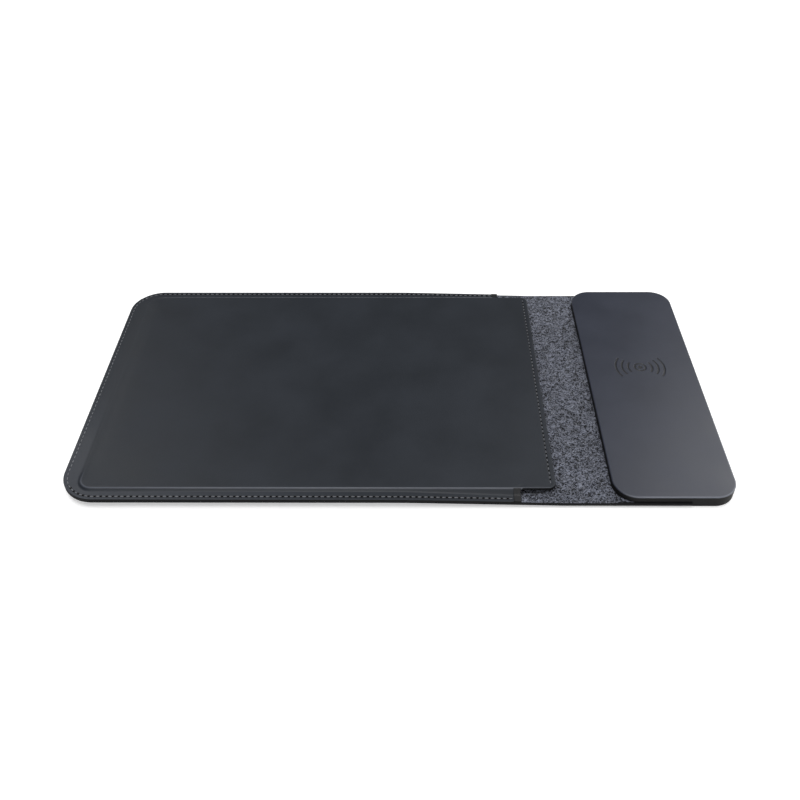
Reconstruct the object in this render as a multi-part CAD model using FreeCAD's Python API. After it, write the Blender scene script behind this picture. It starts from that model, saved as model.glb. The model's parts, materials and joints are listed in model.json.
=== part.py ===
import FreeCAD, Part
import math
import os

# Wireless charging laptop sleeve that opens out into a mouse mat.
# A leather pocket lined with felt, a folding spine, and a flap that carries a charging slab.
# Units are mm.  X is measured from the closed end of the pocket towards the slab, Y is 0 at
# mid depth and positive away from the user, Z is 0 on the table.  Files are written with X
# moved by half the overall length, so that their origin is the middle of the footprint.

V = FreeCAD.Vector
UP = V(0, 0, 1)
ALONG_Y = V(0, 1, 0)
REACH = 700.0                 # bigger than the whole object, for cutting tools

# Sheet materials
LEATHER = 0.9
FELT = 1.5
SHEET = LEATHER + FELT        # leather and felt bonded together
LINING = 0.5
BOARD = 0.8

# Overall plan
OVERALL_LENGTH = 464.0
DEPTH = 240.0
HALF_DEPTH = DEPTH / 2
POCKET_CORNER = 25.0
SEAM_END_X = 316.0            # where the side seams of the pocket stop
MOUTH_X = 340.5               # free edge of the tongue over the pocket mouth
LOWER_CREASE_X = 346.0
UPPER_CREASE_X = 357.2
FLAP_END_X = 431.4
CREASE_GAP = 0.2              # each side of a crease line

# Heights of the underside of the leather sheet
POCKET_LEVEL = 4.2
FLAP_LEVEL = 1.5
BEND_X = 236.9                # between two stitches; the pocket slopes down beyond it
RAMP = math.degrees(math.asin((POCKET_LEVEL - FLAP_LEVEL) / (LOWER_CREASE_X - BEND_X)))

# Back of the pocket: a shallow basin that sinks from the seam margin to the table
BASIN_START_X = 9.5
BASIN_END_X = 338.5
BASIN_HALF_Y = 110.5
BASIN_CORNER = 12.0

# Front of the pocket: flat seam margin, then a raised middle that runs out as the tongue
PANEL_TOP = 9.1
PANEL_THICK = LINING + BOARD + LEATHER
PANEL_UNDERSIDE = PANEL_TOP - PANEL_THICK
RAISED_START_X = 13.5
RAISED_HALF_Y = 110.7
RAISED_CORNER = 9.0
WALL_RISE = 5.0               # height of the 45 degree walls, more than they need
TONGUE_HALF_Y = 110.5
TONGUE_CORNER = 5.0
NOTCH_CORNER = 3.0
TURNED_EDGE = 1.4             # leather folded down round the board at the mouth
LAYER_START_X = 15.0          # board and lining begin just inside the raised middle
TAB_WIDTH = 5.0
TAB_THICK = 0.5

# Stitching
STITCH_PITCH = 4.1
STITCH_LENGTH = 3.0
STITCH_WIDTH = 0.7
STITCH_HEIGHT = 0.35
SEAM_STITCH_INSET = 2.8
MOUTH_STITCH_INSET = 3.6

# Charging slab
SLAB_START_X = 379.2
SLAB_HALF_Y = 119.0
SLAB_CORNER = 16.5
SLAB_TOP = 9.1
SLAB_MID_X = (SLAB_START_X + OVERALL_LENGTH) / 2
TAPE = 0.2
SKIN = 0.8
SKIN_EDGE_RADIUS = 0.65
LID = 1.1
LID_Z = SLAB_TOP - SKIN - LID
WALL = 1.6
FLOOR = 1.0
BASE_Z = FLAP_LEVEL + SHEET + TAPE
FLOOR_TOP = BASE_Z + FLOOR
BAY_START_X = 432.0
BAY_BOTTOM = 0.4
BAY_FLOOR_TOP = 1.6
BAY_WALL = 1.4
TAPE_INSET = 2.0
TAPE_END_X = FLAP_END_X - 1.0

# Anti-slip strip under the bay
FOOT_DEPTH = 0.6
FOOT_WIDTH = 14.0
FOOT_HALF_Y = 88.0
FOOT_MID_X = 449.0
FOOT_CLEARANCE = 0.1

# Coil stack under the icon
COIL_Y = 15.0
CARRIER = 0.5
CARRIER_SIZE = 52.0
CARRIER_CORNER = 4.0
FERRITE = 0.5
FERRITE_SIZE = 48.0
FERRITE_CORNER = 1.0
COIL_OUTER_RADIUS = 21.5
COIL_INNER_RADIUS = 10.5
COIL_HEIGHT = 0.9
FERRITE_Z = FLOOR_TOP + CARRIER
COIL_Z = FERRITE_Z + FERRITE
THERMISTOR_SIZE = 2.0
THERMISTOR_HEIGHT = 0.8
LEAD_RADIUS = 0.4
LEAD_HALF_GAP = 5.0
LEAD_START_X = SLAB_MID_X + COIL_OUTER_RADIUS + 0.1
LEAD_DROP_X = LEAD_START_X + 5.5
LEAD_LAND_X = LEAD_START_X + 7.5
LEAD_END_X = LEAD_START_X + 10.0

# Circuit board in the bay, and what sits on it
PCB_START_X = 450.4
PCB_END_X = 461.6
PCB_HALF_Y = 36.0
PCB_THICK = 0.8
PCB_Z = 2.6
PCB_TOP = PCB_Z + PCB_THICK
PCB_MID_X = (PCB_START_X + PCB_END_X) / 2
POST_RADIUS = 1.6
POST_INSET = 4.0

# Packages on the board: size along X, size along Y, height; then where they stand
CONTROLLER = (5.0, 5.0, 0.9)
CONTROLLER_Y = -13.0
TRANSISTOR = (3.3, 3.3, 0.9)
TRANSISTOR_Y = (-20.0, -24.5)
INDUCTOR = (6.0, 6.0, 2.4)
INDUCTOR_Y = -31.5
RESONANCE_CAPACITOR = (3.2, 1.6, 1.5)
RESONANCE_X = PCB_MID_X + 3.6
RESONANCE_Y = (21.0, 24.0, 27.0, 30.0)
SUPPLY_CAPACITOR = (1.2, 2.0, 1.1)
SUPPLY_X = (PCB_MID_X - 4.0, PCB_MID_X - 1.5, PCB_MID_X + 1.0)
SUPPLY_Y = 8.0
LED = (1.6, 1.6, 0.8)
LED_X = PCB_END_X - LED[0] / 2
LED_Y = 12.0

# USB-C inlet in the end wall
INLET_DEPTH = 7.4
INLET_WIDTH = 8.94
INLET_HEIGHT = 3.2
INLET_SHEET = 0.3
INLET_Z = PCB_TOP
INLET_MOUTH_X = OVERALL_LENGTH - 0.4
INLET_CLEARANCE = 0.15
TONGUE_HALF_WIDTH = 3.3
TONGUE_THICK = 0.7
TONGUE_ROOT = 1.2
TONGUE_END_X = INLET_MOUTH_X - 0.9
TONGUE_CLEARANCE = 0.05

# Clear rod that carries the light of the LED to the end wall
LIGHT_GUIDE_RADIUS = 0.9
LIGHT_GUIDE_Z = 5.2
LIGHT_GUIDE_CLEARANCE = 0.05
GUIDE_FOOT_X = PCB_END_X - 1.4
GUIDE_FOOT_Z = PCB_TOP + LED[2] + 0.1
GUIDE_FOOT_HEIGHT = 1.2
GUIDE_FOOT_HALF_Y = 0.6

# Screws that hold the slab base to its lid
SCREW_RADIUS = 0.85
SCREW_HEAD_RADIUS = 1.6
SCREW_HEAD = 0.6
SCREW_SINK = 0.7
SCREW_TIP_Z = LID_Z + 0.8
SHANK_CLEARANCE = 0.1
HEAD_CLEARANCE = 0.2
THREAD_CLEARANCE = 0.02
TIP_CLEARANCE = 0.1
BOSS_RADIUS = 2.6
SCREW_X = (388.0, 425.0)
SCREW_Y = (-104.0, -40.0, 60.0, 104.0)

# Hidden magnets that keep the flap shut, and the steel discs they meet
MAGNET_X = 400.0
MAGNET_Y = 88.0
MAGNET_RADIUS = 5.0
MAGNET_HEIGHT = 1.6
MAGNET_CLEARANCE = 0.1
MAGNET_RING = 1.1
MAGNET_RING_HEIGHT = 1.0
KEEPER_RADIUS = 6.0
KEEPER_X = LOWER_CREASE_X + UPPER_CREASE_X - MAGNET_X

# Wireless symbol pressed into the skin, just beyond the middle of the coil
SYMBOL_Y = COIL_Y + 1.8
SYMBOL_DEPTH = 0.25
SYMBOL_LINE = 1.5
SYMBOL_RADII = (10.2, 15.0, 19.8)
SYMBOL_HALF_ANGLE = 34.0
SYMBOL_RING_RADIUS = 5.0
SYMBOL_DOT_RADIUS = 1.8


# ---------------------------------------------------------------- shapes used more than once

def block(x0, x1, y0, y1, z0, z1):
    return Part.makeBox(x1 - x0, y1 - y0, z1 - z0, V(x0, y0, z0))


def disc(x, y, z, radius, height):
    return Part.makeCylinder(radius, height, V(x, y, z))


def rounded_outline(x0, x1, half_y, radius, z):
    """Closed outline of a rectangle with four round corners, in a level plane."""
    centres = ((x1 - radius, half_y - radius, 0), (x0 + radius, half_y - radius, 90),
               (x0 + radius, radius - half_y, 180), (x1 - radius, radius - half_y, 270))
    arcs = [Part.makeCircle(radius, V(x, y, z), UP, turn, turn + 90) for x, y, turn in centres]
    edges = []
    for here, following in zip(arcs, arcs[1:] + arcs[:1]):
        edges.append(here)
        edges.append(Part.makeLine(here.Vertexes[-1].Point, following.Vertexes[0].Point))
    return Part.Wire(edges)


def rounded_plate(x0, x1, half_y, radius, z0, z1):
    outline = rounded_outline(x0, x1, half_y, radius, z0)
    return Part.Face(outline).extrude(V(0, 0, z1 - z0))


def tapered_plate(lower, upper):
    """Solid between two rounded outlines, each given as x0, x1, half_y, radius, z."""
    return Part.makeLoft([rounded_outline(*lower), rounded_outline(*upper)], True, True)


def sleeve_plate(x1, z0, z1):
    """Flat sheet with the round corners of the pocket at its closed end, cut square at x1."""
    plate = rounded_plate(0, x1 + POCKET_CORNER, HALF_DEPTH, POCKET_CORNER, z0, z1)
    return plate.common(block(-1, x1, -DEPTH, DEPTH, z0, z1))


def slab_plate(inset, z0, z1):
    return rounded_plate(SLAB_START_X + inset, OVERALL_LENGTH - inset, SLAB_HALF_Y - inset,
                         SLAB_CORNER - inset, z0, z1)


def turned(shape, degrees):
    """Copy turned about the bend line of the pocket; positive takes the mouth end down."""
    copy = shape.copy()
    copy.rotate(V(BEND_X, 0, POCKET_LEVEL), ALONG_Y, degrees)
    return copy


def bend(flat):
    """Slope the part beyond the bend line down to the flap, with a mitred joint."""
    closed_side = turned(block(BEND_X - REACH, BEND_X, -REACH, REACH, -REACH, REACH), RAMP / 2)
    mouth_side = turned(block(BEND_X, BEND_X + REACH, -REACH, REACH, -REACH, REACH), -RAMP / 2)
    return flat.common(closed_side).fuse(turned(flat.common(mouth_side), RAMP)).removeSplitter()


def under_sheet(height):
    """Everything below a surface that runs `height` above the underside of the pocket sheet."""
    return bend(block(-1, LOWER_CREASE_X, -DEPTH, DEPTH, -REACH / 2, POCKET_LEVEL + height))


def strand(x, y, z, heading):
    """One stitch of thread lying along `heading` degrees, its lower face at z."""
    thread = block(-STITCH_LENGTH / 2, STITCH_LENGTH / 2, -STITCH_WIDTH / 2, STITCH_WIDTH / 2,
                   0, STITCH_HEIGHT)
    thread.rotate(V(0, 0, 0), UP, heading)
    thread.translate(V(x, y, z))
    return thread


def seam_strand(x, y, z, heading):
    """Stitch of the pocket seam, which follows the slope beyond the bend line."""
    thread = strand(x, y, z, heading)
    return turned(thread, RAMP) if x > BEND_X else thread


def seam_stations():
    """Places along the pocket seam, at equal steps from one seam end round to the other."""
    inset = SEAM_STITCH_INSET
    radius = POCKET_CORNER - inset
    side = SEAM_END_X - TAB_WIDTH - POCKET_CORNER
    arc = radius * math.pi / 2
    end = DEPTH - 2 * POCKET_CORNER
    total = 2 * side + 2 * arc + end
    count = int(total / STITCH_PITCH)
    for number in range(count):
        s = (number + 0.5) * total / count
        if s < side:
            yield POCKET_CORNER + side - s, inset - HALF_DEPTH, 180
        elif s < side + arc:
            turn = 270 - math.degrees((s - side) / radius)
            yield corner_station(turn, POCKET_CORNER - HALF_DEPTH, radius)
        elif s < side + arc + end:
            yield inset, s - side - arc + POCKET_CORNER - HALF_DEPTH, 90
        elif s < side + 2 * arc + end:
            turn = 180 - math.degrees((s - side - arc - end) / radius)
            yield corner_station(turn, HALF_DEPTH - POCKET_CORNER, radius)
        else:
            yield POCKET_CORNER + s - side - 2 * arc - end, HALF_DEPTH - inset, 0


def corner_station(turn, centre_y, radius):
    angle = math.radians(turn)
    x = POCKET_CORNER + radius * math.cos(angle)
    return x, centre_y + radius * math.sin(angle), turn + 90


# ---------------------------------------------------------------- pocket

def basin(depth):
    """Room above a surface that lies `depth` inside the outer face of the pocket back."""
    step = depth * (math.sqrt(2) - 1)
    foot = (BASIN_START_X + step, BASIN_END_X - step, BASIN_HALF_Y - step,
            BASIN_CORNER - step, depth)
    brim = (foot[0] - WALL_RISE, foot[1] + WALL_RISE, foot[2] + WALL_RISE,
            foot[3] + WALL_RISE, depth + WALL_RISE)
    return tapered_plate(foot, brim)


def back_layer(inner, outer):
    """Bonded layer of the pocket back that lies between two depths from its outer face."""
    z = POCKET_LEVEL
    margin = bend(sleeve_plate(LOWER_CREASE_X - CREASE_GAP, z + outer, z + inner))
    return margin.fuse(basin(outer).common(under_sheet(inner))).cut(basin(inner)).removeSplitter()


def back_cover_leather():
    return back_layer(LEATHER, 0)


def back_lining_felt():
    return back_layer(SHEET, LEATHER)


def dome(depth):
    """Room below a surface that lies `depth` inside the outer face of the pocket front."""
    step = depth * (math.sqrt(2) - 1)
    far_x = MOUTH_X + 2 * POCKET_CORNER
    ridge = (RAISED_START_X + step, far_x, RAISED_HALF_Y - step, RAISED_CORNER - step,
             PANEL_TOP - depth)
    foot = (ridge[0] - WALL_RISE, far_x + WALL_RISE, ridge[2] + WALL_RISE,
            ridge[3] + WALL_RISE, ridge[4] - WALL_RISE)
    return tapered_plate(foot, ridge)


def front_plan(inset):
    """Pocket front seen from above: full width to the seam ends, then the narrower tongue."""
    z0 = 0
    z1 = 2 * PANEL_TOP
    half_tongue = TONGUE_HALF_Y - inset
    plan = sleeve_plate(SEAM_END_X, z0, z1)
    plan = plan.fuse(rounded_plate(BEND_X, MOUTH_X - inset, half_tongue, TONGUE_CORNER, z0, z1))
    for side in (-1, 1):
        x = SEAM_END_X + NOTCH_CORNER
        y = side * (half_tongue + NOTCH_CORNER)
        low_y, high_y = sorted((side * half_tongue, y))
        corner = block(SEAM_END_X, x, low_y, high_y, z0, z1)
        plan = plan.fuse(corner.cut(disc(x, y, z0, NOTCH_CORNER, z1 - z0)))
    return plan.removeSplitter()


def front_blank():
    """Seam margin and raised middle as one solid, before the pocket is hollowed out."""
    z = POCKET_LEVEL + SHEET
    margin = bend(sleeve_plate(LOWER_CREASE_X, z, z + LEATHER))
    return margin.fuse(dome(0).cut(under_sheet(SHEET)))


def front_panel_leather():
    """Outer leather of the pocket front, with a seat pressed in under each hem stitch."""
    hollow = dome(LEATHER).common(front_plan(TURNED_EDGE))
    mouth = block(SEAM_END_X, REACH, -DEPTH, DEPTH, 0, PANEL_UNDERSIDE)
    panel = front_blank().common(front_plan(0)).cut(hollow).cut(mouth).removeSplitter()
    return panel.cut(mouth_hem_thread())


def raised_layer(z0, z1):
    """Flat layer under the raised middle of the front leather, reaching into the tongue."""
    return rounded_plate(LAYER_START_X, MOUTH_X - TURNED_EDGE, TONGUE_HALF_Y - TURNED_EDGE,
                         TONGUE_CORNER, z0, z1)


def keeper_discs():
    z = PANEL_UNDERSIDE + LINING
    return Part.makeCompound([disc(KEEPER_X, y, z, KEEPER_RADIUS, BOARD)
                              for y in (-MAGNET_Y, MAGNET_Y)])


def front_stiffener_board():
    z = PANEL_UNDERSIDE + LINING
    return raised_layer(z, z + BOARD).cut(keeper_discs())


def front_lining():
    return raised_layer(PANEL_UNDERSIDE, PANEL_UNDERSIDE + LINING)


def seam_end_tabs():
    """Small leather patches that finish the two ends of the pocket seam."""
    blank = front_blank()
    raised = blank.copy()
    raised.translate(V(0, 0, TAB_THICK))
    skin = raised.cut(blank)
    tabs = []
    for side in (-1, 1):
        low_y, high_y = sorted((side * RAISED_HALF_Y, side * HALF_DEPTH))
        over_seam = block(SEAM_END_X - TAB_WIDTH, SEAM_END_X, low_y, high_y, POCKET_LEVEL, REACH)
        tabs.append(skin.common(over_seam))
    return Part.makeCompound(tabs)


def pocket_seam_thread():
    top = POCKET_LEVEL + SHEET + LEATHER
    bottom = POCKET_LEVEL - STITCH_HEIGHT
    return Part.makeCompound([seam_strand(x, y, z, heading)
                              for z in (top, bottom) for x, y, heading in seam_stations()])


def mouth_hem_thread():
    """Stitches along the free edge, pulled in until they lie level with the leather."""
    length = 2 * (TONGUE_HALF_Y - MOUTH_STITCH_INSET)
    count = int(length / STITCH_PITCH)
    step = length / count
    x = MOUTH_X - MOUTH_STITCH_INSET
    z = PANEL_TOP - STITCH_HEIGHT
    return Part.makeCompound([strand(x, (i + 0.5) * step - length / 2, z, 90)
                              for i in range(count)])


# ---------------------------------------------------------------- spine and flap sheets

def sheet_strip(x0, x1, z0, z1):
    return block(x0, x1, -HALF_DEPTH, HALF_DEPTH, z0, z1)


def spine_sheet(z0, z1):
    return sheet_strip(LOWER_CREASE_X + CREASE_GAP, UPPER_CREASE_X - CREASE_GAP, z0, z1)


def flap_sheet(z0, z1):
    return sheet_strip(UPPER_CREASE_X + CREASE_GAP, FLAP_END_X, z0, z1)


def spine_leather():
    return spine_sheet(FLAP_LEVEL, FLAP_LEVEL + LEATHER)


def spine_felt():
    return spine_sheet(FLAP_LEVEL + LEATHER, FLAP_LEVEL + SHEET)


def flap_leather():
    return flap_sheet(FLAP_LEVEL, FLAP_LEVEL + LEATHER)


def flap_felt():
    return flap_sheet(FLAP_LEVEL + LEATHER, FLAP_LEVEL + SHEET)


# ---------------------------------------------------------------- slab housing

def slab_bond_tape():
    tape = slab_plate(TAPE_INSET, FLAP_LEVEL + SHEET, BASE_Z)
    return tape.common(block(0, TAPE_END_X, -DEPTH, DEPTH, 0, REACH))


def screw_places():
    return [(x, y) for x in SCREW_X for y in SCREW_Y]


def inlet_outline(grow, x0, x1):
    """Stadium-shaped bar along X with the section of the inlet, grown all round."""
    radius = INLET_HEIGHT / 2 + grow
    half = INLET_WIDTH / 2 - INLET_HEIGHT / 2
    mid_z = INLET_Z + INLET_HEIGHT / 2
    bar = block(x0, x1, -half, half, mid_z - radius, mid_z + radius)
    for y in (-half, half):
        bar = bar.fuse(Part.makeCylinder(radius, x1 - x0, V(x0, y, mid_z), V(1, 0, 0)))
    return bar.removeSplitter()


def bay_solid(inset, z0, z1):
    """Thick end of the slab, beyond the edge of the flap."""
    return slab_plate(inset, z0, z1).common(
        block(BAY_START_X + inset, OVERALL_LENGTH, -DEPTH, DEPTH, z0, z1))


def light_guide_bar(grow):
    x0 = OVERALL_LENGTH - WALL
    return Part.makeCylinder(LIGHT_GUIDE_RADIUS + grow, WALL, V(x0, LED_Y, LIGHT_GUIDE_Z),
                             V(1, 0, 0))


def foot_recess():
    return block(FOOT_MID_X - FOOT_WIDTH / 2, FOOT_MID_X + FOOT_WIDTH / 2,
                 -FOOT_HALF_Y, FOOT_HALF_Y, BAY_BOTTOM, BAY_BOTTOM + FOOT_DEPTH)


def slab_base():
    """Lower housing: a thin tray over the flap with a deeper bay for the electronics."""
    base = slab_plate(0, BASE_Z, LID_Z).fuse(bay_solid(0, BAY_BOTTOM, LID_Z))
    base = base.cut(slab_plate(WALL, FLOOR_TOP, LID_Z))
    base = base.cut(bay_solid(BAY_WALL, BAY_FLOOR_TOP, LID_Z)).cut(foot_recess())
    for x, y in screw_places():
        base = base.fuse(disc(x, y, BASE_Z, BOSS_RADIUS, LID_Z - BASE_Z))
        base = base.cut(disc(x, y, BASE_Z, SCREW_RADIUS + SHANK_CLEARANCE, LID_Z - BASE_Z))
        base = base.cut(disc(x, y, BASE_Z, SCREW_HEAD_RADIUS + HEAD_CLEARANCE, SCREW_SINK))
    for x, y in pcb_posts():
        base = base.fuse(disc(x, y, BAY_FLOOR_TOP, POST_RADIUS, PCB_Z - BAY_FLOOR_TOP))
    seat_radius = MAGNET_RADIUS + MAGNET_CLEARANCE
    for y in (-MAGNET_Y, MAGNET_Y):
        ring = disc(MAGNET_X, y, FLOOR_TOP, seat_radius + MAGNET_RING, MAGNET_RING_HEIGHT)
        base = base.fuse(ring.cut(disc(MAGNET_X, y, FLOOR_TOP, seat_radius, MAGNET_RING_HEIGHT)))
    base = base.cut(inlet_outline(INLET_CLEARANCE, PCB_END_X, OVERALL_LENGTH + 1))
    return base.cut(light_guide_bar(LIGHT_GUIDE_CLEARANCE)).removeSplitter()


def slab_lid():
    """Upper housing plate; its underside has blind holes for the screws."""
    lid = slab_plate(0, LID_Z, LID_Z + LID)
    for x, y in screw_places():
        lid = lid.cut(disc(x, y, LID_Z, SCREW_RADIUS + THREAD_CLEARANCE,
                           SCREW_TIP_Z - LID_Z + TIP_CLEARANCE))
    return lid


def symbol_grooves():
    """Dot, ring and three arcs to each side: the common sign for wireless charging."""
    z = SLAB_TOP - SYMBOL_DEPTH
    grooves = [disc(SLAB_MID_X, SYMBOL_Y, z, SYMBOL_DOT_RADIUS, 1)]
    ring = disc(SLAB_MID_X, SYMBOL_Y, z, SYMBOL_RING_RADIUS, 1)
    grooves.append(ring.cut(disc(SLAB_MID_X, SYMBOL_Y, z, SYMBOL_RING_RADIUS - SYMBOL_LINE, 1)))
    for radius in SYMBOL_RADII:
        for facing in (0, 180):
            outer = sector(radius, z, facing)
            grooves.append(outer.cut(sector(radius - SYMBOL_LINE, z, facing)))
    return Part.makeCompound(grooves)


def sector(radius, z, facing):
    wedge = Part.makeCylinder(radius, 1, V(0, 0, 0), UP, 2 * SYMBOL_HALF_ANGLE)
    wedge.rotate(V(0, 0, 0), UP, facing - SYMBOL_HALF_ANGLE)
    wedge.translate(V(SLAB_MID_X, SYMBOL_Y, z))
    return wedge


def slab_top_skin():
    """Soft leather-like skin bonded to the lid, rim rounded, symbol pressed in."""
    skin = slab_plate(0, SLAB_TOP - SKIN, SLAB_TOP)
    rim = [edge for edge in skin.Edges
           if all(abs(v.Z - SLAB_TOP) < 1e-6 for v in edge.Vertexes)]
    return skin.makeFillet(SKIN_EDGE_RADIUS, rim).cut(symbol_grooves())


def bay_foot_strip():
    half_width = FOOT_WIDTH / 2 - FOOT_CLEARANCE
    half_y = FOOT_HALF_Y - FOOT_CLEARANCE
    return block(FOOT_MID_X - half_width, FOOT_MID_X + half_width, -half_y, half_y,
                 0, BAY_BOTTOM + FOOT_DEPTH)


def housing_screws():
    head_z = BASE_Z + SCREW_SINK - SCREW_HEAD
    screws = []
    for x, y in screw_places():
        head = disc(x, y, head_z, SCREW_HEAD_RADIUS, SCREW_HEAD)
        screws.append(head.fuse(disc(x, y, head_z, SCREW_RADIUS, SCREW_TIP_Z - head_z)))
    return Part.makeCompound([screw.removeSplitter() for screw in screws])


def closure_magnets():
    return Part.makeCompound([disc(MAGNET_X, y, FLOOR_TOP, MAGNET_RADIUS, MAGNET_HEIGHT)
                              for y in (-MAGNET_Y, MAGNET_Y)])


# ---------------------------------------------------------------- coil stack

def square_plate(size, corner, z, thick):
    plate = rounded_plate(SLAB_MID_X - size / 2, SLAB_MID_X + size / 2, size / 2, corner,
                          z, z + thick)
    plate.translate(V(0, COIL_Y, 0))
    return plate


def coil_carrier():
    """Moulded plate that carries the ferrite across the edge of the bay."""
    return square_plate(CARRIER_SIZE, CARRIER_CORNER, FLOOR_TOP, CARRIER)


def ferrite_plate():
    return square_plate(FERRITE_SIZE, FERRITE_CORNER, FERRITE_Z, FERRITE)


def transmitter_coil():
    coil = disc(SLAB_MID_X, COIL_Y, COIL_Z, COIL_OUTER_RADIUS, COIL_HEIGHT)
    return coil.cut(disc(SLAB_MID_X, COIL_Y, COIL_Z, COIL_INNER_RADIUS, COIL_HEIGHT))


def coil_leads():
    """The two ends of the winding, carried down to pads on the circuit board."""
    high = COIL_Z + LEAD_RADIUS
    low = PCB_TOP + LEAD_RADIUS
    leads = []
    for y in (COIL_Y - LEAD_HALF_GAP, COIL_Y + LEAD_HALF_GAP):
        path = [V(LEAD_START_X, y, high), V(LEAD_DROP_X, y, high),
                V(LEAD_LAND_X, y, low), V(LEAD_END_X, y, low)]
        lead = Part.makeSphere(LEAD_RADIUS, path[1])
        lead = lead.fuse(Part.makeSphere(LEAD_RADIUS, path[2]))
        for a, b in zip(path, path[1:]):
            lead = lead.fuse(Part.makeCylinder(LEAD_RADIUS, (b - a).Length, a, b - a))
        leads.append(lead)
    return Part.makeCompound(leads)


def coil_thermistor():
    half = THERMISTOR_SIZE / 2
    return block(SLAB_MID_X - half, SLAB_MID_X + half, COIL_Y - half, COIL_Y + half,
                 COIL_Z, COIL_Z + THERMISTOR_HEIGHT)


# ---------------------------------------------------------------- circuit board

def pcb_posts():
    return [(PCB_MID_X, y) for y in (POST_INSET - PCB_HALF_Y, PCB_HALF_Y - POST_INSET)]


def circuit_board():
    return block(PCB_START_X, PCB_END_X, -PCB_HALF_Y, PCB_HALF_Y, PCB_Z, PCB_TOP)


def packages(size, places):
    """Flat packages of one size standing on the board, one at each place."""
    half_x = size[0] / 2
    half_y = size[1] / 2
    return Part.makeCompound([block(x - half_x, x + half_x, y - half_y, y + half_y,
                                    PCB_TOP, PCB_TOP + size[2]) for x, y in places])


def controller_chip():
    return packages(CONTROLLER, [(PCB_MID_X, CONTROLLER_Y)])


def bridge_transistors():
    return packages(TRANSISTOR, [(PCB_MID_X, y) for y in TRANSISTOR_Y])


def resonance_capacitors():
    return packages(RESONANCE_CAPACITOR, [(RESONANCE_X, y) for y in RESONANCE_Y])


def supply_capacitors():
    return packages(SUPPLY_CAPACITOR, [(x, SUPPLY_Y) for x in SUPPLY_X])


def power_inductor():
    return packages(INDUCTOR, [(PCB_MID_X, INDUCTOR_Y)])


def status_led():
    return packages(LED, [(LED_X, LED_Y)])


def led_light_guide():
    """Clear rod through the end wall that shows the light beside the inlet."""
    foot = block(GUIDE_FOOT_X, OVERALL_LENGTH - WALL,
                 LED_Y - GUIDE_FOOT_HALF_Y, LED_Y + GUIDE_FOOT_HALF_Y,
                 GUIDE_FOOT_Z, GUIDE_FOOT_Z + GUIDE_FOOT_HEIGHT)
    return foot.fuse(light_guide_bar(0)).removeSplitter()


def inlet_shell():
    """Folded steel shell of the USB-C inlet, open at the end wall."""
    x0 = INLET_MOUTH_X - INLET_DEPTH
    shell = inlet_outline(0, x0, INLET_MOUTH_X)
    return shell.cut(inlet_outline(-INLET_SHEET, x0 + INLET_SHEET, INLET_MOUTH_X + 1))


def inlet_tongue():
    """Contact tongue inside the inlet, standing on its moulded block."""
    x0 = INLET_MOUTH_X - INLET_DEPTH + INLET_SHEET
    z0 = INLET_Z + INLET_HEIGHT / 2 - TONGUE_THICK / 2
    root = inlet_outline(-INLET_SHEET - TONGUE_CLEARANCE, x0, x0 + TONGUE_ROOT)
    blade = block(x0, TONGUE_END_X, -TONGUE_HALF_WIDTH, TONGUE_HALF_WIDTH,
                  z0, z0 + TONGUE_THICK)
    return root.fuse(blade).removeSplitter()


# ---------------------------------------------------------------- files

NODES = (
    back_cover_leather, back_lining_felt, front_panel_leather, front_stiffener_board,
    front_lining, keeper_discs, seam_end_tabs, pocket_seam_thread,
    mouth_hem_thread, spine_leather, spine_felt, flap_leather, flap_felt, slab_bond_tape,
    slab_base, slab_lid, slab_top_skin, bay_foot_strip, housing_screws, closure_magnets,
    coil_carrier, ferrite_plate, transmitter_coil, coil_leads, coil_thermistor, circuit_board,
    controller_chip, bridge_transistors, resonance_capacitors, supply_capacitors,
    power_inductor, status_led, led_light_guide, inlet_shell, inlet_tongue,
)


def write_parts():
    os.makedirs("parts", exist_ok=True)
    for make in NODES:
        shape = make()
        shape.translate(V(-OVERALL_LENGTH / 2, 0, 0))
        shape.exportStep(os.path.join("parts", make.__name__ + ".step"))
        box = shape.BoundBox
        print(f"{make.__name__:24s} solids {len(shape.Solids):4d} valid {shape.isValid()} "
              f"x {box.XMin:8.2f} {box.XMax:8.2f}  y {box.YMin:8.2f} {box.YMax:8.2f}  "
              f"z {box.ZMin:6.2f} {box.ZMax:6.2f}  vol {shape.Volume:10.1f}")


write_parts()
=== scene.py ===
import json
import math
import random
from collections import namedtuple

import bpy
import numpy as np
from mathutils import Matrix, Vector


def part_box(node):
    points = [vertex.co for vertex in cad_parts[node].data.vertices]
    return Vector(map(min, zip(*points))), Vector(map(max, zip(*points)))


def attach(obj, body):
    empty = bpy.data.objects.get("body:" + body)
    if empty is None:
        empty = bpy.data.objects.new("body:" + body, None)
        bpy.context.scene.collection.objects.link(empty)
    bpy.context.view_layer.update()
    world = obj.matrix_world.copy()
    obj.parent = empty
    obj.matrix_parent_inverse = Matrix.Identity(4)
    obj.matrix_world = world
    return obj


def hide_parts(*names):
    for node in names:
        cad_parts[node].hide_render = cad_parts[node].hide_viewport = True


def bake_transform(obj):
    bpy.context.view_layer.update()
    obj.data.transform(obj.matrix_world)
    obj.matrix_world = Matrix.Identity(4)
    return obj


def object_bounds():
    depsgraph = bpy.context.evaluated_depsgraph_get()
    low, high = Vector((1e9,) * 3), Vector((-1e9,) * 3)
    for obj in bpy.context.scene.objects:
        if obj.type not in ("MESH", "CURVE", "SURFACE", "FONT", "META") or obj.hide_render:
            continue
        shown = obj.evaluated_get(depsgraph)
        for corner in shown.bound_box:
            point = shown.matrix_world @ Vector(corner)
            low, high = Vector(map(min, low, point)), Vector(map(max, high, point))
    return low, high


# Looks of a laptop sleeve with a wireless charging flap.
# Shapes are worked out in mm, with x from the closed end of the pocket, y from mid depth and
# z from the table, and put into the frame in metres by place().

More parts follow.
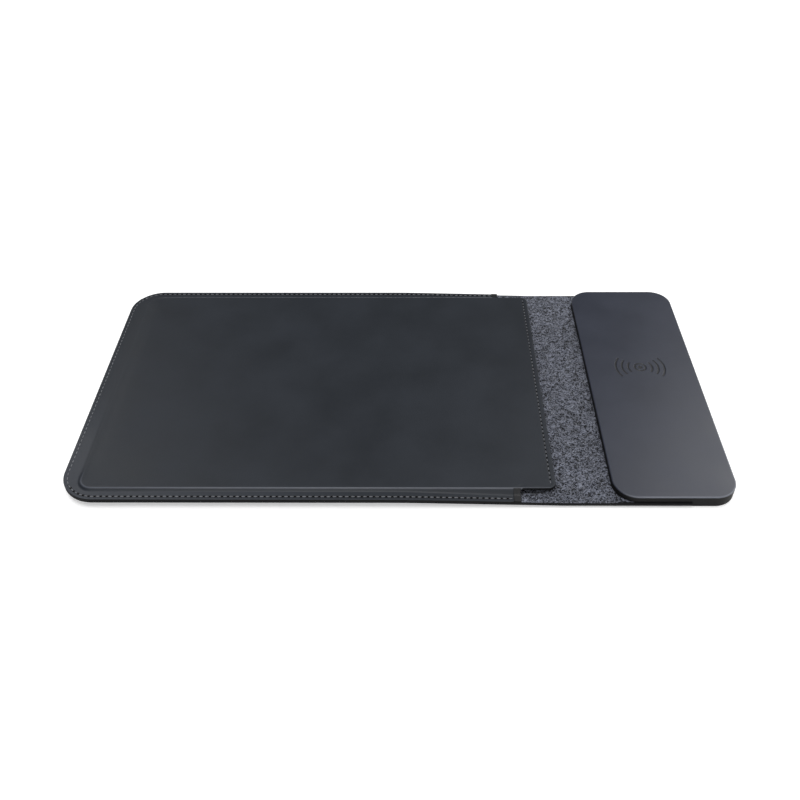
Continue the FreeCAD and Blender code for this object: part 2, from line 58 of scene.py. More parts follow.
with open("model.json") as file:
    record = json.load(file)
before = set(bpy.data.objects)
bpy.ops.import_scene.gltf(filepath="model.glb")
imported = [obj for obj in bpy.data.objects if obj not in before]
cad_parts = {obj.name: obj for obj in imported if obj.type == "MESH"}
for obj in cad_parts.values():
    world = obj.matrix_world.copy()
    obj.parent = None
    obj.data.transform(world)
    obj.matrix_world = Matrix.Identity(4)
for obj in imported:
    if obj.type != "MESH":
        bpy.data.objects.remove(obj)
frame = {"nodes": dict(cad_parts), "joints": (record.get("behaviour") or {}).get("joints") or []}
scene = bpy.context.scene
cad_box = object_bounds()
nodes = frame["nodes"]
joints = {joint["name"]: joint for joint in frame["joints"]}
MM = 0.001
ORIGIN_X = cad_box[0].x
Box = namedtuple("Box", "x0 x1 y0 y1 z0 z1")


def node_box(name):
    """Lowest and highest x, y and z of a CAD node in mm."""
    low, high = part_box(name)
    return Box((low.x - ORIGIN_X) / MM, (high.x - ORIGIN_X) / MM, low.y / MM, high.y / MM,
               low.z / MM, high.z / MM)


# -------- sizes

cover = node_box("back_cover_leather")
flap = node_box("flap_leather")
flap_felt_box = node_box("flap_felt")
front = node_box("front_panel_leather")
lining_box = node_box("front_lining")
skin_box = node_box("slab_top_skin")

HALF_DEPTH = cover.y1
POCKET_CORNER = 25.0
LEATHER = flap.z1 - flap.z0
FELT = flap_felt_box.z1 - flap_felt_box.z0
SHEET = LEATHER + FELT
EDGE_RADIUS = 0.3
PAINT_REACH = 0.22  # faces this near an edge carry its paint
PAINT_EXTRA = 0.3  # how far the paint comes over the face of the back sheet
PAINT_EXTRA_FLAP = 1.1  # the same beside the slab
FLAP_LEVEL = flap.z0
POCKET_LEVEL = cover.z1 - LEATHER
LOWER_CREASE_X = (joints["lower_crease"]["pos_m"][0] - ORIGIN_X) / MM
UPPER_CREASE_X = (joints["upper_crease"]["pos_m"][0] - ORIGIN_X) / MM
MID_SPINE_X = (LOWER_CREASE_X + UPPER_CREASE_X) / 2
CUT_END_REACH = 0.5  # brings the cut end of the flap up to the wall of the bay
FLAP_END_X = flap.x1 + CUT_END_REACH
BEND_X = 236.9  # the sheet is level up to here, then slopes to the flap
SLOPE = (POCKET_LEVEL - FLAP_LEVEL) / (LOWER_CREASE_X - BEND_X)

BASIN_START_X = 9.5
BASIN_END_X = 338.5
BASIN_HALF_Y = 110.5
BASIN_CORNER = 12.0
BASIN_ROUND = 1.0  # widths over which walls and faces melt together
BASIN_LIP_ROUND = 0.8
BEND_ROUND = 0.3

SEAM_END_X = 316.0
MOUTH_X = front.x1
PANEL_TOP = front.z1
PANEL_UNDERSIDE = lining_box.z0
RAISED_START_X = 13.5
RAISED_HALF_Y = 110.7
RAISED_CORNER = 9.0
RAISED_ROUND = 0.9
RAISED_FOOT_ROUND = 0.8
CLOSED_END_SLOPE = 0.14  # of the raised middle at the closed end
CLOSED_END_RUN = 7.0
TONGUE_HALF_Y = 110.5
TONGUE_CORNER = 5.0
NOTCH_CORNER = 3.0
TURNED_EDGE = 1.4
THINNEST = 0.12
TAB_WIDTH = 5.0
TAB_THICK = 0.5
TAB_OVERLAP = 0.08
CLOTH_CORNER = 5.0

STITCH_PITCH = 4.1
STITCH_LENGTH = 3.0
STITCH_WIDTH = 0.7
STITCH_HEIGHT = 0.35
SEAM_STITCH_INSET = 2.8
MOUTH_STITCH_INSET = 3.6
HEM_X = MOUTH_X - MOUTH_STITCH_INSET
HEM_HALF_Y = 107.5
CHANNEL_DEPTH = 0.14  # the thread draws the leather down by this much
HOLE_LENGTH = 2.6

SLAB_START_X = 379.2
SLAB_END_X = 464.0
SLAB_HALF_Y = 119.0
SLAB_CORNER = 16.5
SLAB_MID_X = (SLAB_START_X + SLAB_END_X) / 2
SKIN_RIM = 0.65
SYMBOL_Y = 16.8
SYMBOL_HALF_Y = 12.5  # the skin has a fine grid this far from SYMBOL_Y
SYMBOL_GRID = 0.2
COIL_Y = 15.0
SYMBOL_DEPTH = 0.42
SYMBOL_LINE = 1.5
SYMBOL_RADII = (10.2, 15.0, 19.8)
SYMBOL_HALF_ANGLE = 34.0
SYMBOL_RING_RADIUS = 5.0
SYMBOL_DOT_RADIUS = 1.8

RIM = (0.0, 0.05, 0.15, 0.3, 0.5, 0.8)  # grid lines that round an edge
NEARLY_MEET = 0.04  # grid lines nearer than this become one
SHARP_EDGE = 42  # degrees between faces that are shaded apart
BEND_GRID = (230, 244)  # finer grid where the sheet starts to slope
LIP_GRID = (330, 341)  # finer grid where the basin ends
FLAP_GRID_START = 366  # plain grid of the flap from here on


# -------- mesh helpers

def place(x, y, z):
    """A point of the frame, in metres, from mm."""
    return (ORIGIN_X + x * MM, y * MM, z * MM)


def new_object(name, points, faces, material_of_face=None, marks=None):
    """Mesh object with smooth faces, from points in mm; marks are values per point by name."""
    mesh = bpy.data.meshes.new(name)
    points = np.asarray(points, float)
    in_frame = points * MM
    in_frame[:, 0] += ORIGIN_X
    mesh.from_pydata(in_frame.tolist(), [], faces)
    mesh.polygons.foreach_set("use_smooth", [True] * len(mesh.polygons))
    if material_of_face is not None:
        mesh.polygons.foreach_set("material_index", material_of_face)
    for mark, values in (marks or {}).items():
        mesh.attributes.new(mark, "FLOAT", "POINT").data.foreach_set("value", values)
    mesh.set_sharp_from_angle(angle=math.radians(SHARP_EDGE))
    obj = bpy.data.objects.new(name, mesh)
    scene.collection.objects.link(obj)
    return obj


def lines(*groups):
    """One sorted list of grid lines, without lines that nearly meet."""
    found = []
    for value in sorted(v for group in groups for v in group):
        if not found or value - found[-1] > NEARLY_MEET:
            found.append(float(value))
    return found


def spaced(start, end, step):
    """Grid lines from start to end, about a step apart."""
    return np.linspace(start, end, max(2, int(round((end - start) / step)) + 1))


def mirrored(insets, half):
    """Grid lines at both sides of the middle, from their distances to the edge."""
    return [inset - half for inset in insets] + [half - inset for inset in insets]


def round_corner(x, y, cx, cy, radius, side_x, side_y):
    """Carry the square block of grid beyond (cx, cy) onto a quarter of a disc."""
    a = side_x * (x - cx) / radius
    b = side_y * (y - cy) / radius
    inside = (a > 1e-9) & (b > 1e-9)
    a = np.where(inside, a, 1.0)
    b = np.where(inside, b, 1.0)
    turn = np.where(a >= b, b / a, 2 - a / b) * math.pi / 4
    reach = radius * np.maximum(a, b)
    return (np.where(inside, cx + side_x * reach * np.cos(turn), x),
            np.where(inside, cy + side_y * reach * np.sin(turn), y))


def shell(name, x, y, top, bottom, keep=None, edge_inset=None, marks=None):
    """Closed sheet over a grid of points; faces at its rim take the second material."""
    n, m = x.shape
    if keep is None:
        keep = np.ones((n - 1, m - 1), bool)
    number = np.arange(n * m).reshape(n, m)
    under = number + n * m
    faces = []
    kinds = []

    def add(quads, kind):
        faces.extend(quads.reshape(-1, 4).tolist())
        kinds.extend(np.broadcast_to(kind, quads.shape[:-1]).reshape(-1).tolist())

    def corners(of):
        return of[:-1, :-1], of[1:, :-1], of[1:, 1:], of[:-1, 1:]

    rim = np.zeros((n - 1, m - 1), int)
    if edge_inset is not None:
        rim = (sum(corners(edge_inset)) / 4 < PAINT_REACH).astype(int)
    t00, t10, t11, t01 = corners(number)
    b00, b10, b11, b01 = corners(under)
    add(np.stack([t00, t10, t11, t01], -1)[keep], rim[keep])
    add(np.stack([b00, b01, b11, b10], -1)[keep], rim[keep])
    padded = np.pad(keep, 1)
    for shift_i, shift_j, quad in (
        (0, -1, (b00, b10, t10, t00)), (0, 1, (b11, b01, t01, t11)),
        (-1, 0, (b01, b00, t00, t01)), (1, 0, (b10, b11, t11, t10)),
    ):
        beside = padded[1 + shift_i:n + shift_i, 1 + shift_j:m + shift_j]
        open_edge = keep & ~beside
        add(np.stack(quad, -1)[open_edge], 1)
    points = np.concatenate([np.stack([x, y, top], -1).reshape(-1, 3),
                             np.stack([x, y, bottom], -1).reshape(-1, 3)])
    used = np.unique(np.array(faces))
    renumber = np.zeros(len(points), int)
    renumber[used] = np.arange(len(used))
    marks = {mark: np.concatenate([values.reshape(-1), np.zeros(n * m)])[used]
             for mark, values in (marks or {}).items()}
    return new_object(name, points[used], renumber[np.array(faces)].tolist(), kinds, marks)


def smooth_max(a, b, width):
    """The higher of two surfaces, melted together where they cross."""
    share = np.clip(0.5 + 0.5 * (a - b) / width, 0, 1)
    return b + (a - b) * share + width * share * (1 - share)


def smooth_min(a, b, width):
    return -smooth_max(-a, -b, width)


def smooth_step(low, high, value):
    """Share that grows gently from 0 at low to 1 at high."""
    t = np.clip((value - low) / (high - low), 0, 1)
    return t * t * (3 - 2 * t)


def outside(x, y, x0, x1, half_y, radius):
    """Distance outside a rectangle with round corners; negative inside it."""
    qx = np.abs(x - (x0 + x1) / 2) - ((x1 - x0) / 2 - radius)
    qy = np.abs(y) - (half_y - radius)
    return (np.hypot(np.maximum(qx, 0), np.maximum(qy, 0))
            + np.minimum(np.maximum(qx, qy), 0) - radius)


def rounded_drop(inset, radius):
    """How far an edge that is rounded to this radius lies below its face."""
    short = radius - np.clip(inset, 0, radius)
    return radius - np.sqrt(np.maximum(radius ** 2 - short ** 2, 0))


def ripple(x, y, size, seed):
    """Gentle waves of about this size in mm, from -1 to 1."""
    chance = random.Random(seed)
    total = np.zeros_like(x)
    for _ in range(7):
        angle = chance.uniform(0, 2 * math.pi)
        wave = 2 * math.pi / (size * chance.uniform(0.7, 1.6))
        phase = chance.uniform(0, 2 * math.pi)
        total = total + np.sin(wave * (x * math.cos(angle) + y * math.sin(angle)) + phase)
    return total / 7


# -------- surfaces of the sleeve

def level(x):
    """Underside of the leather sheet: level on the pocket, then sloping down to the flap."""
    sloped = POCKET_LEVEL - (x - BEND_X) * SLOPE
    return np.maximum(smooth_min(np.full_like(x, POCKET_LEVEL), sloped, BEND_ROUND), FLAP_LEVEL)


def back_height(x, y, depth):
    """Height of the surface that lies `depth` inside the outer face of the back sheet."""
    beyond = outside(x, y, BASIN_START_X, BASIN_END_X, BASIN_HALF_Y, BASIN_CORNER)
    wall = smooth_max(np.full_like(x, depth), beyond + depth * math.sqrt(2), BASIN_ROUND)
    return smooth_min(level(x) + depth, wall, BASIN_LIP_ROUND)


def outside_raised(x, y):
    """Distance outside the raised middle, which runs on beyond the mouth."""
    return outside(x, y, RAISED_START_X, 3 * MOUTH_X, RAISED_HALF_Y, RAISED_CORNER)


def at_closed_end(x, y):
    """Share of the closed end, where the raised middle slopes down gently."""
    return (smooth_step(2, 20, y + RAISED_HALF_Y)
            * (1 - smooth_step(RAISED_START_X + 3, RAISED_START_X + 25, x)))


def front_height(x, y):
    """Outer face of the pocket front: seam margin, soft wall, raised middle."""
    beyond = outside_raised(x, y)
    full = np.full_like(x, PANEL_TOP)
    steep = smooth_min(full, PANEL_TOP - beyond, RAISED_ROUND)
    easy = smooth_min(full, PANEL_TOP - CLOSED_END_SLOPE * (beyond + CLOSED_END_RUN),
                      RAISED_ROUND)
    raised = steep + (easy - steep) * at_closed_end(x, y)
    return smooth_max(level(x) + SHEET + LEATHER, raised, RAISED_FOOT_ROUND)


def outline_inset(x, y):
    """Distance in from the outer edge of the sleeve, whose far end is open here."""
    return -outside(x, y, 0, 4 * FLAP_END_X, HALF_DEPTH, POCKET_CORNER)


def tongue_inset(x, y):
    """Distance in from the edge of the tongue, which has no edge at the closed end."""
    return -outside(x, y, -2 * MOUTH_X, MOUTH_X, TONGUE_HALF_Y, TONGUE_CORNER)


def front_inset(x, y):
    """Distance in from the edge of the pocket front, with its notches at the seam ends."""
    side = np.abs(y)
    margin = np.minimum(outline_inset(x, y), SEAM_END_X - x)
    notch_x = SEAM_END_X + NOTCH_CORNER
    notch_y = TONGUE_HALF_Y + NOTCH_CORNER
    fillet = np.minimum(np.hypot(x - notch_x, side - notch_y) - NOTCH_CORNER, outline_inset(x, y))
    fillet = np.where((x < notch_x) & (side < notch_y), fillet, -1)
    return np.maximum(np.maximum(margin, tongue_inset(x, y)), fillet)


def sleeve_grid(xs, ys):
    """Grid with the two round corners of the closed end."""
    x, y = np.meshgrid(xs, ys, indexing="ij")
    for side in (-1, 1):
        x, y = round_corner(x, y, POCKET_CORNER, side * (HALF_DEPTH - POCKET_CORNER),
                            POCKET_CORNER, -1, side)
    return x, y


def corner_insets():
    """Grid lines of the sleeve, as distances in from its outer edge."""
    tongue = HALF_DEPTH - TONGUE_HALF_Y
    return lines(RIM, spaced(0.8, 16, 0.4), [tongue + r for r in RIM],
                 spaced(16, POCKET_CORNER, 1.8))


# -------- soft pieces of the sleeve

def back_sheet(name, x0, x1, outer, inner):
    """One layer of the long back sheet between two depths, from x0 to x1."""
    insets = corner_insets()
    fold_xs = lines(spaced(LOWER_CREASE_X - 8, LOWER_CREASE_X + 5.6, 0.5),
                    spaced(UPPER_CREASE_X - 5.6, UPPER_CREASE_X + 8, 0.5))
    xs = lines(insets, spaced(POCKET_CORNER, BEND_GRID[0], 5), spaced(*BEND_GRID, 1),
               spaced(BEND_GRID[1], LIP_GRID[0], 5), spaced(*LIP_GRID, 0.5), fold_xs,
               spaced(FLAP_GRID_START, FLAP_END_X, 5), [FLAP_END_X - r for r in RIM])
    xs = [x0] + [x for x in xs if x0 + 0.02 < x < x1 - 0.02] + [x1]
    ys = lines(mirrored(insets, HALF_DEPTH),
               spaced(POCKET_CORNER - HALF_DEPTH, HALF_DEPTH - POCKET_CORNER, 5))
    x, y = sleeve_grid(xs, ys)
    inset = np.minimum(outline_inset(x, y), FLAP_END_X - x)
    drop = rounded_drop(inset, EDGE_RADIUS)
    top = back_height(x, y, inner) - drop
    bottom = back_height(x, y, outer) + drop
    painted = inset - np.where(x > SLAB_START_X, PAINT_EXTRA_FLAP, PAINT_EXTRA)
    return shell(name, x, y, top, bottom, edge_inset=painted)


def pocket_front():
    """Leather front of the pocket, with its notches, tongue and stitch channels."""
    insets = corner_insets()
    tongue = HALF_DEPTH - TONGUE_HALF_Y
    mouth_lines = [MOUTH_X - (i - tongue) for i in insets if tongue <= i <= tongue + 5.001]
    xs = lines(insets, spaced(POCKET_CORNER, BEND_GRID[0], 5), spaced(*BEND_GRID, 1),
               spaced(BEND_GRID[1], 304, 5), spaced(304, 314, 1), [SEAM_END_X - r for r in RIM],
               [SEAM_END_X + r for r in RIM], spaced(317, 321, 0.5), spaced(321, 335, 2),
               spaced(HEM_X - 1.4, HEM_X + 1.4, 0.2), mouth_lines)
    ys = lines(mirrored(insets, HALF_DEPTH),
               spaced(POCKET_CORNER - HALF_DEPTH, HALF_DEPTH - POCKET_CORNER, 5))
    x, y = sleeve_grid(xs, ys)
    beyond_seam = (x[:-1] + x[1:])[:, :-1] / 2 > SEAM_END_X
    beside_tongue = np.abs(y[:, :-1] + y[:, 1:])[:-1] / 2 > TONGUE_HALF_Y
    keep = ~(beyond_seam & beside_tongue)
    # Grid lines bend round the notches between the seam ends and the tongue.
    side = np.abs(y)
    ahead = np.clip(x - SEAM_END_X, 0, NOTCH_CORNER)
    fillet = NOTCH_CORNER - np.sqrt(NOTCH_CORNER ** 2 - (NOTCH_CORNER - ahead) ** 2)
    fillet = fillet * np.clip((x - SEAM_END_X + 6) / 6, 0, 1)
    still_y = 104
    give = np.where(side > TONGUE_HALF_Y, (HALF_DEPTH - side) / tongue,
                    np.clip((side - still_y) / (TONGUE_HALF_Y - still_y), 0, 1))
    y = y + np.sign(y) * fillet * give
    for sign in (-1, 1):
        x, y = round_corner(x, y, MOUTH_X - TONGUE_CORNER,
                            sign * (TONGUE_HALF_Y - TONGUE_CORNER), TONGUE_CORNER, 1, sign)
    inset = front_inset(x, y)
    on_tongue = smooth_step(SEAM_END_X, SEAM_END_X + 4, x)
    radius = 0.35 + 0.4 * on_tongue
    seam_channel = np.exp(-((inset - SEAM_STITCH_INSET) / 0.55) ** 2) * (1 - on_tongue)
    hem_channel = np.exp(-((x - HEM_X) / 0.5) ** 2) * (np.abs(y) < HEM_HALF_Y)
    channels = CHANNEL_DEPTH * (seam_channel + hem_channel)
    waves = 0.05 * ripple(x, y, 46, 3) * smooth_step(4, 30, inset)
    full = front_height(x, y)
    top = full + waves - channels - rounded_drop(inset, radius)
    # The free edge of the tongue is turned under.
    under = full - LEATHER
    turned = (tongue_inset(x, y) < TURNED_EDGE) & (x > SEAM_END_X)
    under = np.where(turned, PANEL_UNDERSIDE, under)
    bottom = np.minimum(under + rounded_drop(inset, EDGE_RADIUS), top - THINNEST)
    # Painted highlight along the ridge, and a faint painted sheen on the margin by the near
    # corner; both are also a little less rough.
    beyond = outside_raised(x, y)
    painted_highlight_and_gloss = np.exp(-((beyond + 0.15) / 0.5) ** 2) * (0.85 + 0.15 * ripple(x, y, 60, 4))
    painted_highlight_and_gloss = painted_highlight_and_gloss * (1 - 0.95 * at_closed_end(x, y))
    near_corner_sheen = smooth_step(1, 3, beyond) * smooth_step(0, 90, -y) * (1 - smooth_step(40, 260, x))
    painted_highlight_and_gloss = np.maximum(painted_highlight_and_gloss, 0.17 * near_corner_sheen)
    return shell("pocket_front_leather", x, y, top, bottom, keep, inset, {"painted_highlight_and_gloss": painted_highlight_and_gloss})


def front_lining_cloth():
    """Microfibre on the inside of the pocket front, which sags a little."""
    x0, x1, half_y = lining_box.x0, lining_box.x1, lining_box.y1
    corner = CLOTH_CORNER
    insets = lines(RIM, spaced(0.8, corner, 0.6))
    xs = lines([x0 + i for i in insets], [x1 - i for i in insets],
               spaced(x0 + corner, x1 - corner, 6))
    ys = lines(mirrored(insets, half_y), spaced(corner - half_y, half_y - corner, 6))
    x, y = np.meshgrid(xs, ys, indexing="ij")
    for sign in (-1, 1):
        x, y = round_corner(x, y, x1 - corner, sign * (half_y - corner), corner, 1, sign)
        x, y = round_corner(x, y, x0 + corner, sign * (half_y - corner), corner, -1, sign)
    inset = -outside(x, y, x0, x1, half_y, corner)
    sag = 0.06 * (1 + ripple(x, y, 60, 5)) * smooth_step(0, 12, inset)
    top = np.full_like(x, lining_box.z1)
    bottom = lining_box.z0 + rounded_drop(inset, 0.2) - sag
    return shell("front_lining_cloth", x, y, top, bottom, edge_inset=inset)


def seam_end_patch(side):
    """Small leather patch over the end of a side seam; side is 1 for the far one."""
    low = RAISED_HALF_Y
    xs = lines([SEAM_END_X - TAB_WIDTH + r for r in RIM], [SEAM_END_X - r for r in RIM],
               spaced(SEAM_END_X - TAB_WIDTH, SEAM_END_X, 0.6))
    ys = lines([low + r for r in RIM], [HALF_DEPTH - r for r in RIM],
               spaced(low, HALF_DEPTH, 0.45))
    if side < 0:
        ys = sorted(-v for v in ys)
    x, y = np.meshgrid(xs, ys, indexing="ij")
    inset = np.minimum(np.minimum(x - xs[0], xs[-1] - x), np.minimum(y - ys[0], ys[-1] - y))
    outer = np.clip(outline_inset(x, y), 0, None)
    base = front_height(x, y) - rounded_drop(outer, EDGE_RADIUS)
    top = base + TAB_THICK - rounded_drop(inset, EDGE_RADIUS)
    name = "seam_end_patch_far" if side > 0 else "seam_end_patch_near"
    return shell(name, x, y, top, base - TAB_OVERLAP, edge_inset=inset)


# -------- stitches

def stitch_points(around, along):
    """One stitch of twisted thread along x, its ends pulled down into the leather."""
    points = []
    for i in range(along):
        t = 2 * i / (along - 1) - 1
        swell = max(0.0, 1 - abs(t) ** 3.2) ** 0.5
        for k in range(around):
            turn = 2 * math.pi * k / around
            ply = 1 + 0.13 * math.cos(2 * turn + 5.2 * t)
            y = 0.5 * STITCH_WIDTH * swell * ply * math.cos(turn)
            z = 0.62 * STITCH_HEIGHT * swell * ply * math.sin(turn)
            points.append((t * STITCH_LENGTH / 2, y, z - 0.16 * abs(t) ** 3))
    return points


def ring_faces(start, around, rings):
    """Faces between rings of points that follow one another in a list."""
    faces = []
    for first in range(start, start + (rings - 1) * around, around):
        for k in range(around):
            a = first + k
            b = first + (k + 1) % around
            faces.append((a, b, b + around, a + around))
    return faces


def stitches(name, stations, height, seed):
    """All stitches of a row as one mesh; each lies a little differently."""
    chance = random.Random(seed)
    around, along = 8, 9
    shape = stitch_points(around, along)
    points = []
    faces = []
    for x, y, heading, slope in stations:
        start = len(points)
        angle = math.radians(heading + chance.uniform(-2.5, 2.5))
        cos, sin = math.cos(angle), math.sin(angle)
        base = height(x) + chance.uniform(-0.02, 0.02)
        for u, v, w in shape:
            du = u * cos - v * sin
            points.append((x + du, y + u * sin + v * cos, base + w - du * slope))
        faces.extend(ring_faces(start, around, along))
    return new_object(name, points, faces)


def seam_stations():
    """Place, heading and slope of each seam stitch, round the two sides and closed end."""
    inset = SEAM_STITCH_INSET
    radius = POCKET_CORNER - inset
    side = SEAM_END_X - TAB_WIDTH - POCKET_CORNER
    arc = radius * math.pi / 2
    end = 2 * (HALF_DEPTH - POCKET_CORNER)
    total = 2 * side + 2 * arc + end
    count = int(total / STITCH_PITCH)
    found = []
    for number in range(count):
        s = (number + 0.5) * total / count
        far = s > total / 2
        if far:
            s = total - s
        if s < side:
            x, y, heading = POCKET_CORNER + side - s, inset - HALF_DEPTH, 180
        elif s < side + arc:
            turn = math.radians(270 - math.degrees((s - side) / radius))
            x = POCKET_CORNER + radius * math.cos(turn)
            y = POCKET_CORNER - HALF_DEPTH + radius * math.sin(turn)
            heading = math.degrees(turn) + 90
        else:
            x, y, heading = inset, s - side - arc + POCKET_CORNER - HALF_DEPTH, 90
        if far:
            y, heading = -y, -heading
        found.append((x, y, heading, SLOPE if x > BEND_X else 0.0))
    return found


def hem_stations():
    """Place, heading and slope of each stitch along the free edge of the tongue."""
    length = 2 * (TONGUE_HALF_Y - MOUTH_STITCH_INSET)
    count = int(length / STITCH_PITCH)
    step = length / count
    return [(HEM_X, (i + 0.5) * step - length / 2, 90, 0.0) for i in range(count)]


def needle_hole_shade(name, stations, height, half_width):
    """Disc of painted shade at the mouth of each needle hole, half way between one stitch and the
    next.
    """
    around = 10
    points = []
    faces = []
    for here, following in zip(stations, stations[1:]):
        x = (here[0] + following[0]) / 2
        y = (here[1] + following[1]) / 2
        if math.hypot(here[0] - following[0], here[1] - following[1]) > 1.6 * STITCH_PITCH:
            continue
        angle = math.radians(here[2])
        cos, sin = math.cos(angle), math.sin(angle)
        base = height(x)
        start = len(points)
        for scale, lift in ((1.0, 0.0), (0.72, 0.05), (0.4, 0.0)):
            for k in range(around):
                turn = 2 * math.pi * k / around
                u = HOLE_LENGTH / 2 * scale * math.cos(turn)
                v = half_width * scale * math.sin(turn)
                du = u * cos - v * sin
                points.append((x + du, y + u * sin + v * cos, base + lift - du * here[3]))
        faces.extend(ring_faces(start, around, 3))
        faces.append(tuple(start + 2 * around + k for k in range(around)))
    return new_object(name, points, faces)


def above_seam(lift):
    """Height above the seam margin, as a function of x."""
    return lambda x: float(level(np.array([x]))[0]) + SHEET + LEATHER + lift


def below_seam(lift):
    """Height from the underside of the sleeve, as a function of x."""
    return lambda x: float(level(np.array([x]))[0]) + lift


def above_tongue(lift):
    """Height above the tongue, which is level, as a function of x."""
    return lambda x: PANEL_TOP + lift


# -------- felt fibres

def loose_fibres(name, x0, x1, count, seed):
    """Short hairs that lie on the felt and curl up from it, as thin ribbons."""
    chance = random.Random(seed)
    points = []
    faces = []
    segments = 4
    for _ in range(count):
        x = chance.uniform(x0, x1)
        y = chance.uniform(-HALF_DEPTH + 0.6, HALF_DEPTH - 0.6)
        heading = chance.uniform(0, 2 * math.pi)
        length = chance.uniform(1.2, 3.4)
        curl = chance.uniform(-1.6, 1.6)
        lift = chance.uniform(0.05, 0.28)
        width = chance.uniform(0.03, 0.055)
        base = float(back_height(np.array([x]), np.array([y]), SHEET)[0])
        start = len(points)
        for i in range(segments + 1):
            t = i / segments
            angle = heading + curl * t
            z = base + lift * math.sin(math.pi * t)
            taper = width * (1 - 0.7 * t)
            points.append((x - taper * math.sin(angle), y + taper * math.cos(angle), z))
            points.append((x + taper * math.sin(angle), y - taper * math.cos(angle), z + 0.01))
            x += math.cos(angle) * length / segments
            y += math.sin(angle) * length / segments
            x = min(max(x, x0 - 1.5), x1 + 1.5)
            y = min(max(y, 0.15 - HALF_DEPTH), HALF_DEPTH - 0.15)
        for i in range(segments):
            a = start + 2 * i
            faces.append((a, a + 1, a + 3, a + 2))
    return new_object(name, points, faces)


# -------- slab skin

def symbol_depth(x, y):
    """How deep the wireless symbol is pressed at each point, with soft edges."""
    dx = x - SLAB_MID_X
    dy = y - SYMBOL_Y
    r = np.hypot(dx, dy)
    half = SYMBOL_LINE / 2
    nearest = r - SYMBOL_DOT_RADIUS
    nearest = np.minimum(nearest, np.abs(r - SYMBOL_RING_RADIUS + half) - half)
    limit = math.radians(SYMBOL_HALF_ANGLE)
    angle = np.arctan2(np.abs(dy), np.abs(dx))
    for radius in SYMBOL_RADII:
        middle = radius - half
        tip_x = middle * math.cos(limit)
        tip_y = middle * math.sin(limit)
        tip = np.hypot(np.abs(dx) - tip_x, np.abs(dy) - tip_y) - half
        band = np.where(angle < limit, np.abs(r - middle) - half, tip)
        nearest = np.minimum(nearest, band)
    return SYMBOL_DEPTH * (1 - smooth_step(-0.24, 0.06, nearest))


def slab_skin():
    """Soft skin on the slab: painted highlight on its near rim, pressed symbol with painted
    shade.
    """
    insets = lines(RIM, [SKIN_RIM, 1.0], spaced(1.0, 5, 0.8), spaced(5, SLAB_CORNER, 1.6))
    reach = SYMBOL_RADII[-1] + 1
    fine_x = spaced(SLAB_MID_X - reach, SLAB_MID_X + reach, SYMBOL_GRID)
    near_y = SYMBOL_Y - SYMBOL_HALF_Y
    far_y = SYMBOL_Y + SYMBOL_HALF_Y
    fine_y = spaced(near_y, far_y, SYMBOL_GRID)
    inner_x0 = SLAB_START_X + SLAB_CORNER
    inner_x1 = SLAB_END_X - SLAB_CORNER
    inner_y = SLAB_HALF_Y - SLAB_CORNER
    xs = lines([SLAB_START_X + i for i in insets], [SLAB_END_X - i for i in insets],
               spaced(inner_x0, SLAB_MID_X - reach, 3), fine_x,
               spaced(SLAB_MID_X + reach, inner_x1, 3))
    ys = lines(mirrored(insets, SLAB_HALF_Y), spaced(-inner_y, near_y, 4), fine_y,
               spaced(far_y, inner_y, 4))
    x, y = np.meshgrid(xs, ys, indexing="ij")
    for sign in (-1, 1):
        for cx, side in ((inner_x0, -1), (inner_x1, 1)):
            x, y = round_corner(x, y, cx, sign * inner_y, SLAB_CORNER, side, sign)
    inset = -outside(x, y, SLAB_START_X, SLAB_END_X, SLAB_HALF_Y, SLAB_CORNER)
    waves = 0.02 * (ripple(x, y, 38, 9) - 1) * smooth_step(2, 14, inset)
    pressed = symbol_depth(x, y)
    top = skin_box.z1 - rounded_drop(inset, SKIN_RIM) - pressed + waves
    bottom = np.full_like(x, skin_box.z0)
    # Painted highlight along the near rim, fading out towards the far side and the start of the
    # slab.
    near_rim_sheen = smooth_step(SLAB_START_X, SLAB_START_X + 25, x) * smooth_step(0, 100, -y)
    painted_highlight_and_gloss = near_rim_sheen * np.exp(-((inset - 0.35) / 0.35) ** 2)
    # The depth of the symbol also sets its painted groove shade.
    marks = {"painted_highlight_and_gloss": painted_highlight_and_gloss, "pressed": pressed / SYMBOL_DEPTH}
    return shell("slab_skin", x, y, top, bottom, marks=marks)


# -------- materials

def srgb(r, g, b):
    """Colour for a shader from three values up to 255."""
    def linear(v):
        v /= 255
        return v / 12.92 if v <= 0.04045 else ((v + 0.055) / 1.055) ** 2.4
    return (linear(r), linear(g), linear(b), 1)


